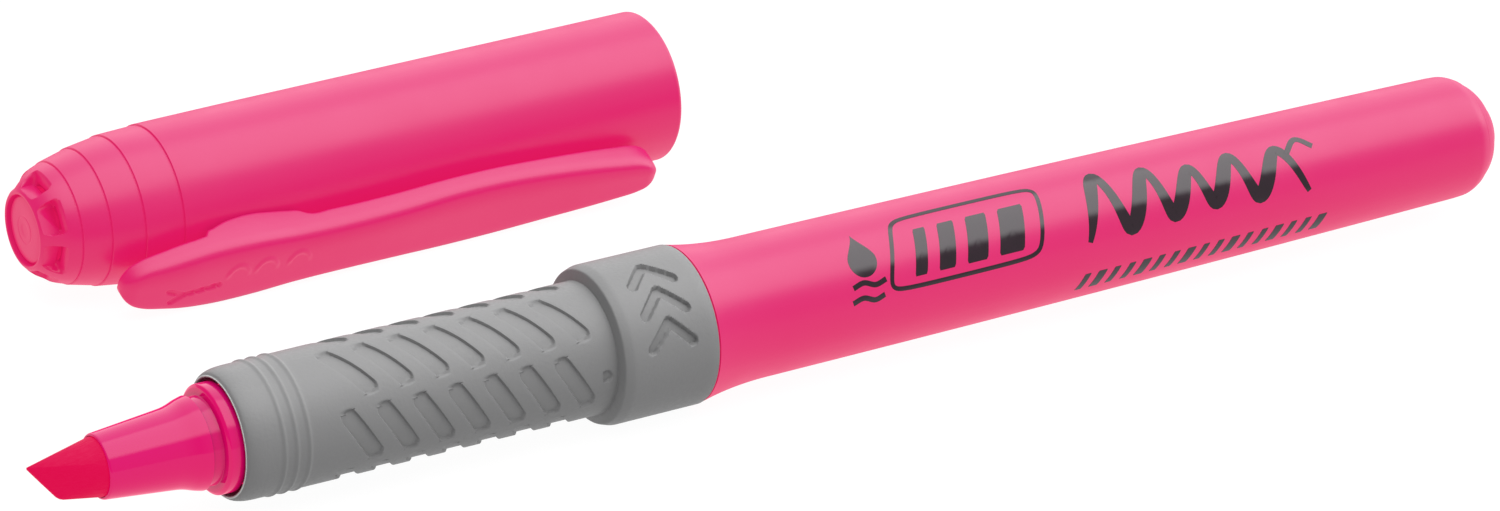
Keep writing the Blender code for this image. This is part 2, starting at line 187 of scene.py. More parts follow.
def pen_place(station, radius, angle):
    """World places from arrays or numbers: stations and radii in mm, angles in radians."""
    station, radius, angle = np.broadcast_arrays(station, radius, angle)
    x = PEN.x + station * MM
    y = PEN.y - radius * np.cos(angle) * MM
    z = PEN.z + radius * np.sin(angle) * MM
    return np.stack([x, y, z], -1)


def beside_cap(station, near, up):
    """World places from a cap station and the offsets from its axis, near side and upwards."""
    station, near, up = np.broadcast_arrays(station, near, up)
    x = CAP.x - (station * CAP_AXIS.x + near * CAP_SIDE.x) * MM
    y = CAP.y - (station * CAP_AXIS.y + near * CAP_SIDE.y) * MM
    return np.stack([x, y, CAP.z + up * MM], -1)


def cap_place(station, radius, angle):
    return beside_cap(station, radius * np.cos(angle), radius * np.sin(angle))


def clip_place(station, across, height):
    near = height * math.cos(CLIP_DROP) + across * math.sin(CLIP_DROP)
    return beside_cap(station, near, across * math.cos(CLIP_DROP) - height * math.sin(CLIP_DROP))


def finish_mesh(name, shape, sharp=32):
    """A new object from a bmesh, facing outwards, smooth apart from its sharper edges."""
    bmesh.ops.remove_doubles(shape, verts=shape.verts, dist=1e-7)
    bmesh.ops.recalc_face_normals(shape, faces=shape.faces)
    mesh = bpy.data.meshes.new(name)
    shape.to_mesh(mesh)
    shape.free()
    mesh.polygons.foreach_set("use_smooth", np.ones(len(mesh.polygons), bool))
    mesh.set_sharp_from_angle(angle=math.radians(sharp))
    obj = bpy.data.objects.new(name, mesh)
    bpy.context.scene.collection.objects.link(obj)
    return obj


def add_grid(shape, places, closed_rows=False, closed_columns=False, capped=False):
    """Adds a grid of world places (rows, columns, 3) to a bmesh as quads."""
    rows, columns = places.shape[:2]
    verts = [[shape.verts.new(place) for place in row] for row in places]
    for i in range(rows if closed_rows else rows - 1):
        for j in range(columns if closed_columns else columns - 1):
            after, beside = (i + 1) % rows, (j + 1) % columns
            shape.faces.new((verts[i][j], verts[i][beside], verts[after][beside], verts[after][j]))
    if capped:
        shape.faces.new(verts[0])
        shape.faces.new(verts[-1])


def softened(corners, points=5):
    """An outline of (station, radius, rounding) corners with each corner rounded off."""
    made = []
    for i, (x, y, rounding) in enumerate(corners):
        here = np.array((x, y))
        if rounding == 0 or i in (0, len(corners) - 1):
            made.append((x, y))
            continue
        before = np.array(corners[i - 1][:2]) - here
        after = np.array(corners[i + 1][:2]) - here
        reach = min(rounding, np.linalg.norm(before) * 0.49, np.linalg.norm(after) * 0.49)
        a = here + before / np.linalg.norm(before) * reach
        b = here + after / np.linalg.norm(after) * reach
        for t in np.linspace(0, 1, points):
            made.append(tuple((1 - t) ** 2 * a + 2 * t * (1 - t) * here + t * t * b))
    return made


def lathe(name, outline, place, steps=STEPS):
    """A closed outline of (station, radius) turned about its axis; on-axis ends close it too."""
    stations = np.array([point[0] for point in outline])[:, None]
    radii = np.array([max(point[1], 0.0) for point in outline])[:, None]
    turn = np.linspace(0, TAU, steps, endpoint=False)[None, :]
    shape = bmesh.new()
    add_grid(shape, place(stations, radii, turn), outline[0][1] > 0, True)
    return finish_mesh(name, shape)


def combined(obj, other, operation):
    """Applies a Boolean of other to obj; other is removed."""
    modifier = obj.modifiers.new("cut", "BOOLEAN")
    modifier.operation = operation
    modifier.solver = "EXACT"
    modifier.object = other
    bpy.context.view_layer.update()
    evaluated = obj.evaluated_get(bpy.context.evaluated_depsgraph_get())
    mesh = bpy.data.meshes.new_from_object(evaluated)
    obj.modifiers.clear()
    old = obj.data
    obj.data = mesh
    mesh.name = obj.name
    bpy.data.meshes.remove(old)
    cutter_mesh = other.data
    bpy.data.objects.remove(other, do_unlink=True)
    bpy.data.meshes.remove(cutter_mesh)


def smoothstep(low, high, value):
    t = np.clip((value - low) / (high - low), 0.0, 1.0)
    return t * t * (3 - 2 * t)


def through(points, value):
    """A smooth curve through a few (place, height) design points."""
    xs = np.array([p[0] for p in points], float)
    ys = np.array([p[1] for p in points], float)
    slopes = np.gradient(ys, xs)
    i = np.clip(np.searchsorted(xs, value) - 1, 0, len(xs) - 2)
    step = xs[i + 1] - xs[i]
    t = np.clip((value - xs[i]) / step, 0.0, 1.0)
    first = (1 + 2 * t) * (1 - t) ** 2 * ys[i] + t * (1 - t) ** 2 * step * slopes[i]
    return first + t * t * (3 - 2 * t) * ys[i + 1] + t * t * (t - 1) * step * slopes[i + 1]


def to_segment(x, y, start, end):
    """Distance from points to a straight segment."""
    (ax, ay), (bx, by) = start, end
    run, rise = bx - ax, by - ay
    along = np.clip(((x - ax) * run + (y - ay) * rise) / (run ** 2 + rise ** 2), 0, 1)
    return np.hypot(x - ax - along * run, y - ay - along * rise)


def around(angle, centre):
    """The turn from a centre angle in degrees, between minus and plus half a turn, in radians."""
    return (angle - math.radians(centre) + math.pi) % TAU - math.pi


# ------------------------------------------------------------ materials

def node_material(name):
    made = bpy.data.materials.new(name)
    made.use_nodes = True
    return made, made.node_tree, made.node_tree.nodes["Principled BSDF"]


def noise(tree, scale, detail=2.0, rough=0.5):
    place = tree.nodes.new("ShaderNodeTexCoord")
    made = tree.nodes.new("ShaderNodeTexNoise")
    made.inputs["Scale"].default_value = scale
    made.inputs["Detail"].default_value = detail
    made.inputs["Roughness"].default_value = rough
    tree.links.new(place.outputs["Object"], made.inputs["Vector"])
    return made


def ramp(tree, source, low, high):
    """A value that runs from low to high as a 0-1 source rises through its middle."""
    made = tree.nodes.new("ShaderNodeMapRange")
    made.inputs["From Min"].default_value = 0.3
    made.inputs["From Max"].default_value = 0.7
    made.inputs["To Min"].default_value = low
    made.inputs["To Max"].default_value = high
    tree.links.new(source, made.inputs["Value"])
    return made.outputs["Result"]


def tint(tree, factor, first, second):
    made = tree.nodes.new("ShaderNodeMix")
    made.data_type = "RGBA"
    made.inputs["A"].default_value = (*first, 1)
    made.inputs["B"].default_value = (*second, 1)
    tree.links.new(factor, made.inputs["Factor"])
    return made.outputs["Result"]


def grain(tree, shader, source, distance):
    made = tree.nodes.new("ShaderNodeBump")
    made.inputs["Strength"].default_value = 1.0
    made.inputs["Distance"].default_value = distance
    tree.links.new(source, made.inputs["Height"])
    tree.links.new(made.outputs["Normal"], shader.inputs["Normal"])


def painted_shade_level(tree, reach, least, full):
    """From least up to 1: how much light gets into the surface's nooks, over a reach in metres; used to
    paint shade into those nooks.
    """
    made = tree.nodes.new("ShaderNodeAmbientOcclusion")
    made.samples = 6
    made.inputs["Distance"].default_value = reach
    level = tree.nodes.new("ShaderNodeMapRange")
    level.inputs["From Min"].default_value = 0.1
    level.inputs["From Max"].default_value = full
    level.inputs["To Min"].default_value = least
    tree.links.new(made.outputs["AO"], level.inputs["Value"])
    return level.outputs["Result"]


def rim_reflection_shade(tree, shader, most, least):
    """Painted shade on the shine: its mirror part dies away towards a piece's outline, where darker
    surroundings would be reflected.
    """
    facing = tree.nodes.new("ShaderNodeLayerWeight")
    facing.inputs["Blend"].default_value = 0.5
    level = tree.nodes.new("ShaderNodeMapRange")
    level.inputs["From Min"].default_value = 0.5
    level.inputs["From Max"].default_value = 0.92
    level.inputs["To Min"].default_value = most
    level.inputs["To Max"].default_value = least
    tree.links.new(facing.outputs["Facing"], level.inputs["Value"])
    tree.links.new(level.outputs["Result"], shader.inputs["Specular IOR Level"])


def plastic(name, light, deep, painted_glow, roughness, ior, grain_depth, painted_nook_shade=(0.0009, 0.78, 0.75)):
    """Fluorescent moulded plastic with a painted glow: an emission in its colour that does not follow the
    lamps, dimmed by painted shade in its nooks.
    """
    made, tree, shader = node_material(name)
    clouds = noise(tree, 260.0, 3.0)
    tree.links.new(tint(tree, clouds.outputs["Fac"], light, deep), shader.inputs["Base Color"])
    fine = noise(tree, 4200.0, 2.0)
    polish = ramp(tree, clouds.outputs["Fac"], roughness - 0.03, roughness + 0.03)
    tree.links.new(polish, shader.inputs["Roughness"])
    shader.inputs["IOR"].default_value = ior
    rim_reflection_shade(tree, shader, 0.5, 0.04)
    # Painted glow: the emission strength follows ambient occlusion, so painted shade, not the lamps,
    # darkens it in nooks.
    shader.inputs["Emission Color"].default_value = (*painted_glow, 1)
    tree.links.new(painted_shade_level(tree, *painted_nook_shade), shader.inputs["Emission Strength"])
    grain(tree, shader, fine.outputs["Fac"], grain_depth)
    return made


def rubber(name, light, deep):
    """Soft matt rubber, darkened by painted shade down in its nooks."""
    made, tree, shader = node_material(name)
    clouds = noise(tree, 180.0, 3.0)
    fine = noise(tree, 3600.0, 3.0, 0.6)
    colour = tint(tree, clouds.outputs["Fac"], light, deep)
    # Painted shade: a deep grey, darker than the rubber, taken wherever ambient occlusion finds a nook.
    painted_nook_shade = tint(tree, painted_shade_level(tree, 0.0005, 0.0, 0.85), tuple(part * 0.4 for part in deep), light)
    shade = tree.nodes.new("ShaderNodeMix")
    shade.data_type = "RGBA"
    shade.blend_type = "DARKEN"
    shade.inputs["Factor"].default_value = 1.0
    tree.links.new(colour, shade.inputs["A"])
    tree.links.new(painted_nook_shade, shade.inputs["B"])
    tree.links.new(shade.outputs["Result"], shader.inputs["Base Color"])
    tree.links.new(ramp(tree, fine.outputs["Fac"], 0.46, 0.58), shader.inputs["Roughness"])
    shader.inputs["IOR"].default_value = 1.42
    grain(tree, shader, fine.outputs["Fac"], 0.00002)
    return made


def fibre(name, light, deep, painted_glow):
    """Porous fibre: fine streaks along the nib, soaked in ink."""
    made, tree, shader = node_material(name)
    place = tree.nodes.new("ShaderNodeTexCoord")
    stretch = tree.nodes.new("ShaderNodeMapping")
    stretch.inputs["Scale"].default_value = (0.12, 1.0, 1.0)
    streaks = tree.nodes.new("ShaderNodeTexNoise")
    streaks.inputs["Scale"].default_value = 5200.0
    streaks.inputs["Detail"].default_value = 3.0
    tree.links.new(place.outputs["Object"], stretch.inputs["Vector"])
    tree.links.new(stretch.outputs["Vector"], streaks.inputs["Vector"])
    tree.links.new(tint(tree, streaks.outputs["Fac"], light, deep), shader.inputs["Base Color"])
    tree.links.new(ramp(tree, streaks.outputs["Fac"], 0.5, 0.7), shader.inputs["Roughness"])
    # Painted glow: a constant emission in the fibre's colour, whatever light reaches it.
    shader.inputs["Emission Color"].default_value = (*painted_glow, 1)
    shader.inputs["Emission Strength"].default_value = 1.0
    shader.inputs["Specular IOR Level"].default_value = 0.08
    grain(tree, shader, streaks.outputs["Fac"], 0.00004)
    return made


def ink(name):
    """Dark print: a thin glossy film that varies a little in cover."""
    made, tree, shader = node_material(name)
    clouds = noise(tree, 900.0, 2.0)
    colour = tint(tree, clouds.outputs["Fac"], (0.006, 0.001, 0.004), (0.012, 0.001, 0.007))
    tree.links.new(colour, shader.inputs["Base Color"])
    tree.links.new(ramp(tree, clouds.outputs["Fac"], 0.1, 0.16), shader.inputs["Roughness"])
    return made


# The pinks come mostly from painted glow; their base colours are near black.
PINK = plastic(
    "pink_plastic", light=(0.045, 0.002, 0.052), deep=(0.040, 0.001, 0.046), painted_glow=(0.68, 0.007, 0.08),
    roughness=0.36, ior=1.43, grain_depth=0.000004)
# Its glow drops far in deep nooks: painted shade in the groove behind the flange and round the cone.
GLOSSY_PINK = plastic(
    "clear_pink_plastic", light=(0.03, 0.001, 0.045), deep=(0.025, 0.001, 0.04), painted_glow=(0.70, 0.0, 0.09),
    roughness=0.09, ior=1.34, grain_depth=0.000002, painted_nook_shade=(0.0014, 0.08, 0.9))
RUBBER = rubber("grey_rubber", light=(0.157, 0.157, 0.158), deep=(0.147, 0.147, 0.148))
# A lighter copy of the rubber: a painted highlight for the front edge of the lip.
RUBBER_LIP_HIGHLIGHT = rubber("grey_rubber_lip_highlight", light=(0.42, 0.44, 0.43), deep=(0.38, 0.40, 0.39))
# The nib's deep red comes mostly from painted glow.
NIB_FIBRE = fibre(
    "nib_fibre", light=(0.05, 0.001, 0.022), deep=(0.03, 0.0, 0.012), painted_glow=(0.69, 0.0, 0.052))
INK_FIBRE = fibre(
    "ink_fibre", light=(0.70, 0.10, 0.22), deep=(0.60, 0.06, 0.16), painted_glow=(0.05, 0.0, 0.01))
FILM = plastic(
    "wrap_film", light=(0.75, 0.60, 0.64), deep=(0.72, 0.56, 0.60), painted_glow=(0.0, 0.0, 0.0),
    roughness=0.25, ior=1.45, grain_depth=0.000001)
PRINT = ink("print_ink")


def dressed(obj, material, body, slot, *nodes):
    """Gives a piece its material and body, and hides the CAD nodes it stands for. The slot is not used."""
    obj.data.materials.clear()
    obj.data.materials.append(material)
    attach(obj, body)
    if nodes:
        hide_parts(*nodes)
    return obj


# ------------------------------------------------------------ barrel and tail

def barrel_radius(station):
    """Flare behind the collar, then a taper to the tail that swells a little in the middle."""
    taper = np.maximum((station - FLARE_LENGTH) / (BARREL_END - FLARE_LENGTH), 0.0)
    flare = np.maximum(1.0 - station / FLARE_LENGTH, 0.0) ** 2.2
    fullness = np.sin(math.pi * np.minimum((taper + 0.12) / 1.12, 1.0)) ** 0.8
    swell = fullness * np.clip(station / FLARE_LENGTH, 0.0, 1.0)
    radius = BARREL_WAIST_RADIUS + (BARREL_TAIL_RADIUS - BARREL_WAIST_RADIUS) * taper
    radius = radius + BARREL_SWELL * swell
    return radius + (BARREL_FRONT_RADIUS - BARREL_WAIST_RADIUS) * flare


def make_barrel():
    """The tail tapers in past a fine line before the plug's dome takes over."""
    edge = BARREL_END - TAIL_ROUNDING
    outline = softened([
        (edge + 2.02, TAIL_HOLE - 0.02, 0), (edge + 2.0, TAIL_HOLE + 0.04, 0.03),
        (edge + 1.66, 4.02, 0.5), (edge + 0.9, 4.54, 0.05), (edge + 0.87, 4.49, 0.01),
        (edge + 0.83, 4.62, 0.03), (edge + 0.45, 4.81, 0.3), (edge, BARREL_TAIL_RADIUS, 0.3),
        (edge - 1.0, float(barrel_radius(edge - 1.0)), 0),
    ])
    taper = np.linspace(edge - 1.5, FLARE_LENGTH, 40)
    for station in (*taper, *np.linspace(6.6, 0.12, 24)):
        outline.append((station, float(barrel_radius(station))))
    outline += softened([
        (0.12, BARREL_FRONT_RADIUS - 0.05, 0), (0.1, BARREL_FRONT_RADIUS - 0.15, 0),
        (0.1, NECK_RADIUS, 0), (NECK_FRONT, NECK_RADIUS, 0), (NECK_FRONT, NECK_BORE, 0),
        (2.0, NECK_BORE, 0), (6.0, BARREL_BORE_FRONT, 0), (72.0, BARREL_BORE_TAIL, 0),
        (73.0, TAIL_HOLE - 0.02, 0), (edge + 1.0, TAIL_HOLE - 0.02, 0),
    ])
    return dressed(lathe("barrel_skin", outline, pen_place), PINK, "pen", "pink_plastic", "barrel")


def make_plug():
    """The plug closes the tail with a dome that carries on the taper."""
    edge = BARREL_END - TAIL_ROUNDING
    outline = softened([
        (PLUG_END, 0.0, 0), (PLUG_END - 0.03, 1.3, 0.5), (PLUG_END - 0.12, 2.4, 0.6),
        (edge + 2.28, 3.15, 0.4), (edge + 2.03, TAIL_HOLE - 0.06, 0.1),
        (PLUG_FRONT + 0.6, TAIL_HOLE - 0.06, 0), (PLUG_FRONT, 2.6, 0), (PLUG_FRONT, 0.0, 0),
    ])
    return dressed(lathe("tail_plug_skin", outline, pen_place), PINK, "pen", "pink_plastic", "tail_plug")


# ------------------------------------------------------------ grip sleeve

def slot_relief(station, angle):
    """Depth below the sleeve of the slanted slots, in rows around it."""
    arc = GRIP_REAR_RADIUS * math.radians(SLOT_SWEEP)
    length = math.hypot(SLOT_SLANT, arc)
    reach = (length - SLOT_WIDTH) / 2 / length
    depth = np.zeros(np.broadcast(station, angle).shape)
    for row in range(SLOT_ROWS):
        t = GRIP_REAR_RADIUS * around(angle, SLOT_ROW_ANGLE + row * 360 / SLOT_ROWS)
        for i in range(SLOTS_PER_ROW):
            centre = SLOT_FIRST + i * SLOT_PITCH
            start = (centre + SLOT_SLANT * reach, -arc * reach)
            end = (centre - SLOT_SLANT * reach, arc * reach)
            inside = SLOT_WIDTH / 2 - to_segment(station, t, start, end)
            depth = np.maximum(depth, smoothstep(-0.04, SLOT_WALL, inside) * SLOT_DEPTH)
    return depth


def collar_relief(station, angle):
    """Sunk chevrons on the collar, pointing around it."""
    depth = np.zeros(np.broadcast(station, angle).shape)
    for centre in CHEVRON_ANGLES:
        t = COLLAR_RADIUS * around(angle, centre)
        for side in (-1, 1):
            foot = (CHEVRON_STATION + side * 1.75, -0.85)
            distance = to_segment(station, t, (CHEVRON_STATION, 0.95), foot)
            depth = np.maximum(depth, smoothstep(-0.02, 0.1, 0.42 - distance) * CHEVRON_DEPTH)
    return depth


def gate_relief(station, angle):
    """The D-shaped dimple left by the mould's gate."""
    t = GRIP_REAR_RADIUS * around(angle, GATE_ANGLE)
    round_part = GATE_RADIUS - np.hypot(station - GATE_STATION, t)
    flat_part = station - GATE_STATION + 0.3
    return smoothstep(0.0, 0.1, np.minimum(round_part, flat_part)) * GATE_DEPTH


def slot_shear(angle):
    """How far the mesh rows lean with the slots, back and forth around the sleeve."""
    half = SLOT_SWEEP / 2
    pitch = 360 / SLOT_ROWS
    turn = (np.degrees(angle) - SLOT_ROW_ANGLE + pitch / 2) % pitch - pitch / 2
    back = np.sign(turn) * (pitch / 2 - np.abs(turn)) / (pitch / 2 - half)
    folded = np.where(np.abs(turn) < half, turn / half, back)
    return -folded * SLOT_SLANT / 2


def slot_stations():
    """Stations of the mesh rows over the slots, close together at the slots' long walls."""
    lean = math.atan(SLOT_SLANT / (GRIP_REAR_RADIUS * math.radians(SLOT_SWEEP)))
    wall = SLOT_WIDTH / 2 / math.cos(lean)
    offsets = [-1.15, *(wall + gap for gap in (0.08, 0.03, -0.03, -0.08, -0.14, -0.24)), 0.4]
    beside = {round(side * abs(offset), 4) for offset in offsets for side in (-1, 1)}
    beside = sorted(beside | {0.0, -SLOT_PITCH / 2})
    return [SLOT_FIRST + i * SLOT_PITCH + offset for i in range(SLOTS_PER_ROW) for offset in beside]


def grip_outer(slots):
    """The sleeve's outside, from its front lip to the rear of its collar."""
    front = GRIP_FRONT
    outer = [(front + 0.03, LIP_RADIUS), (front, LIP_RADIUS + 0.04)]
    outer += [(front, LIP_RADIUS + 0.1), (front + 0.05, LIP_RADIUS + 0.15)]
    for turn in np.linspace(math.radians(84), 0, 12):
        station = front + 0.1 + GRIP_ROUNDING * (1 - math.sin(turn))
        rise = (GRIP_FRONT_RADIUS - LIP_RADIUS - 0.14) * math.cos(turn)
        outer.append((station, LIP_RADIUS + 0.14 + rise))
    stations = np.concatenate([
        np.arange(outer[-1][0] + 0.08, -33.9, 0.08), np.arange(-33.8, slots[0] - 0.1, 0.3), slots,
        np.arange(slots[-1] + 0.2, -9.95, 0.25), np.arange(-9.95, SHOULDER - 0.05, 0.09),
    ])
    for station in stations:
        share = (station - GRIP_FRONT) / (SHOULDER - GRIP_FRONT)
        radius = GRIP_FRONT_RADIUS + (GRIP_REAR_RADIUS - GRIP_FRONT_RADIUS) * share
        for ridge in RIDGE_STATIONS:
            radius += RIDGE_HEIGHT * math.exp(-(((station - ridge) / RIDGE_HALF_WIDTH) ** 2))
        outer.append((station, radius))
    outer += softened([
        (SHOULDER - 0.02, GRIP_REAR_RADIUS, 0), (SHOULDER + 0.02, GRIP_REAR_RADIUS, 0.03),
        (SHOULDER + 0.25, 6.02, 0.12), (SHOULDER_TOP, COLLAR_RADIUS, 0.35),
        (SHOULDER_TOP + 0.4, COLLAR_RADIUS, 0),
    ])
    for station in np.arange(-6.5, -1.6, 0.07):
        outer.append((station, COLLAR_RADIUS))
    outer += [(-1.0, COLLAR_RADIUS), (-0.1, COLLAR_RADIUS)]
    outer += [(-0.03, COLLAR_RADIUS - 0.03), (0.0, COLLAR_RADIUS - 0.1)]
    return outer


def make_grip():
    """The sleeve's mesh rows follow the slots' lean, so that the slots' long walls stay crisp."""
    slots = slot_stations()
    outer = grip_outer(slots)
    lip = LIP_RADIUS - 0.08
    inner = [(0.0, SLEEVE_BORE), (SLEEVE_BORE_FRONT, SLEEVE_BORE), (SLEEVE_BORE_FRONT, lip)]
    outline = outer + inner + [(GRIP_FRONT + 0.15, lip)]
    station = np.array([p[0] for p in outline])[:, None]
    radius = np.array([p[1] for p in outline])[:, None]
    turn = np.linspace(0, TAU, GRIP_STEPS, endpoint=False)[None, :]
    lean = smoothstep(-34.0, slots[0] - 0.6, station) * smoothstep(-9.9, slots[-1] + 0.1, station)
    lean[len(outer):] = 0.0
    station = station + lean * slot_shear(turn)
    relief = slot_relief(station, turn) + collar_relief(station, turn) + gate_relief(station, turn)
    relief[len(outer):] = 0.0
    shape = bmesh.new()
    add_grid(shape, pen_place(station, radius - relief, turn), True, True)
    grip = dressed(finish_mesh("grip_skin", shape, 40), RUBBER, "pen", "grey_rubber", "grip_sleeve")
    # The lip's front faces take the lighter copy, a painted highlight along that edge.
    grip.data.materials.append(RUBBER_LIP_HIGHLIGHT)
    edge = PEN.x + (GRIP_FRONT + 0.05) * MM
    for face in grip.data.polygons:
        face.material_index = int(face.center.x < edge)
    return grip


# ------------------------------------------------------------ nib holder and nib

def make_holder():
    """A flange that stops against the sleeve, a groove, and a waisted cone down to the nib."""
    outline = softened([
        (-30.0, 3.3, 0), (-37.8, 3.3, 0), (-37.8, 3.7, 0), (-39.15, 3.7, 0),
        (-39.2, FLANGE_RADIUS, 0.05), (-40.3, FLANGE_RADIUS, 0.1),
        (-40.48, 3.95, 0.06), (-40.52, 3.4, 0.05), (-41.38, 3.34, 0.05), (-41.44, 3.6, 0.06),
        (-42.1, 3.44, 0.3), (-42.7, 3.22, 0.3), (-43.3, 3.08, 0.3), (-44.3, 2.98, 0.3),
        (CONE_TIP + 0.12, 2.50, 0.1), (CONE_TIP, 2.42, 0.05), (CONE_TIP, 2.3, 0.02),
        (-45.7, 2.3, 0), (-45.7, 1.35, 0), (-30.0, 1.35, 0),
    ])
    holder = lathe("nib_holder_skin", outline, pen_place)
    return dressed(holder, GLOSSY_PINK, "pen", "clear_pink_plastic", "nib_holder")


def make_nib():
    """The hull between the nib's round body and its slanted writing edge, with a thin stem."""
    shape = bmesh.new()
    turns = np.linspace(0, TAU, 96, endpoint=False)
    body = ((CONE_TIP + 3.2, NIB_RADIUS), (CONE_TIP - 0.1, NIB_RADIUS), (CONE_TIP - 0.2, NIB_RADIUS - 0.03))
    for station, radius in body:
        for place in pen_place(station, radius, turns):
            shape.verts.new(place)
    edge = ((NIB_TIP + 0.04, 0.97), (NIB_TIP + 0.06, 1.12), (NIB_TIP + 0.9, -0.27), (-52.85, -1.46),
            (-52.6, -1.67), (-52.3, -1.78), (-51.7, -1.86))
    for station, height in edge:
        for side in (-0.2, -0.1, 0.1, 0.2):
            sink = 0.1 if abs(side) > 0.15 else 0.0
            y = height * math.cos(NIB_TURN) - side * math.sin(NIB_TURN)
            z = height * math.sin(NIB_TURN) + side * math.cos(NIB_TURN)
            shape.verts.new((PEN.x + (station + sink) * MM, PEN.y + y * MM, PEN.z + z * MM))
    bmesh.ops.convex_hull(shape, input=shape.verts)
    loose = [vert for vert in shape.verts if not vert.link_faces]
    bmesh.ops.delete(shape, geom=loose, context="VERTS")
    nib = finish_mesh("chisel_nib_skin", shape, 24)
    stem_outline = [(-21.0, 0.0), (-21.0, NIB_STEM_RADIUS), (-46.3, NIB_STEM_RADIUS), (-46.3, 0.0)]
    stem = lathe("stem", stem_outline, pen_place, 64)
    combined(nib, stem, "UNION")
    return dressed(nib, NIB_FIBRE, "pen", "nib_fibre", "chisel_nib")


# ------------------------------------------------------------ cap

def window_cutter(angle):
    """A pocket in the nose: deep at its mouth side, its floor rising towards the closed end."""
    wide, narrow = WINDOW_HALF_WIDTHS
    outline = softened([
        (WINDOW_START, 0.0, 0), (WINDOW_START, wide, 0.5), (WINDOW_END, narrow, 0.4),
        (WINDOW_END, -narrow, 0.4), (WINDOW_START, -wide, 0.5), (WINDOW_START, -0.01, 0),
    ], 7)
    turn = math.radians(angle)
    centre = (WINDOW_START + WINDOW_END) / 2
    deep, shallow = WINDOW_FLOOR
    rows = []
    for share in (0.0, 0.12, 0.6, 1.0):
        row = []
        for station, across in outline:
            floor = deep + (shallow - deep) * (station - WINDOW_START) / (WINDOW_END - WINDOW_START)
            reach = floor + (WINDOW_REACH - floor) * share
            pull = 0.88 if share == 0.0 else 1.0
            near = reach * math.cos(turn) - across * pull * math.sin(turn)
            up = reach * math.sin(turn) + across * pull * math.cos(turn)
            row.append(beside_cap(centre + (station - centre) * pull, near, up))
        rows.append(row)
    shape = bmesh.new()
    add_grid(shape, np.array(rows), False, True, True)
    return shape


def shell_outline():
    """From the hole for the end disc over the nose and the step rings to the mouth and back inside."""
    inner_nose = DISC_RADIUS + 0.07
    corners = [(CAP_LENGTH - 0.06, inner_nose, 0), (CAP_LENGTH, inner_nose + 0.07, 0.05),
               (CAP_LENGTH, NOSE_RADIUS, 0.12), (CAP_LENGTH - 0.15, 3.25, 0.2),
               (56.3, 3.6, 0.3), (55.7, 4.12, 0.4), (54.9, 4.56, 0.4)]
    for station, before in zip(reversed(STEP_STATIONS), reversed(STEP_RADII)):
        after = before - STEP_DROP
        corners += [(station + 0.11, after, 0.03), (station + 0.08, after - STEP_GROOVE, 0.01),
                    (station + 0.01, after - STEP_GROOVE, 0.01), (station - 0.02, before, 0.03)]
    corners += [(38.0, CAP_RADIUS, 3.0), (0.3, CAP_RADIUS, 0.15), (0.0, CAP_RADIUS - 0.3, 0.25),
                (0.0, 5.65, 0.1), (0.3, 5.5, 0.1), (45.7, 5.35, 0), (49.0, 5.05, 0), (51.6, 4.65, 0),
                (53.9, 4.1, 0), (54.9, 3.6, 0), (55.3, inner_nose, 0)]
    return softened(corners)


def pad_block():
    """The flat on the shell that the clip's bridge stands on."""
    front, rear = BRIDGE_FRONT + 1.2, BRIDGE_REAR - 1.3
    side = PAD_HALF_WIDTH
    corners = [(front, -side), (rear, -side), (rear, side), (front, side)]
    rows = []
    for height in (PAD_FOOT, PAD_HEIGHT):
        rows.append([clip_place(station, across, height) for station, across in corners])
    shape = bmesh.new()
    add_grid(shape, np.array(rows), False, True, True)
    return finish_mesh("pad", shape)


def make_shell():
    shell = lathe("cap_skin", shell_outline(), cap_place)
    for i in range(WINDOWS):
        cutter = finish_mesh("window", window_cutter(WINDOW_ANGLE + i * 360 / WINDOWS))
        combined(shell, cutter, "DIFFERENCE")
    combined(shell, pad_block(), "UNION")
    return dressed(shell, PINK, "cap", "pink_plastic", "cap_shell")


def make_seal():
    """The end disc, with a fine ring round its sunk middle, and the tapered cup behind it."""
    end = SEAL_END
    outline = softened([
        (end - 0.06, 0.0, 0), (end - 0.05, 0.45, 0.2), (end, 0.68, 0.15), (end + 0.01, 1.0, 0.1),
        (end - 0.03, 1.1, 0.08), (end + 0.01, 1.22, 0.08), (end - 0.01, 2.1, 0.4),
        (end - 0.1, DISC_RADIUS - 0.15, 0.3), (end - 0.3, DISC_RADIUS, 0.1), (54.4, DISC_RADIUS, 0.2),
        (51.0, 3.8, 0), (46.0, 4.15, 0), (SEAL_START, 4.3, 0), (SEAL_START, 3.8, 0),
        (46.0, 3.6, 0), (50.7, 3.2, 0), (53.8, 2.2, 0), (55.8, 2.1, 0), (55.8, 0.0, 0),
    ])
    seal = lathe("cap_cup_skin", outline, cap_place)
    return dressed(seal, PINK, "cap", "pink_plastic", "cap_inner_seal")


# ------------------------------------------------------------ clip

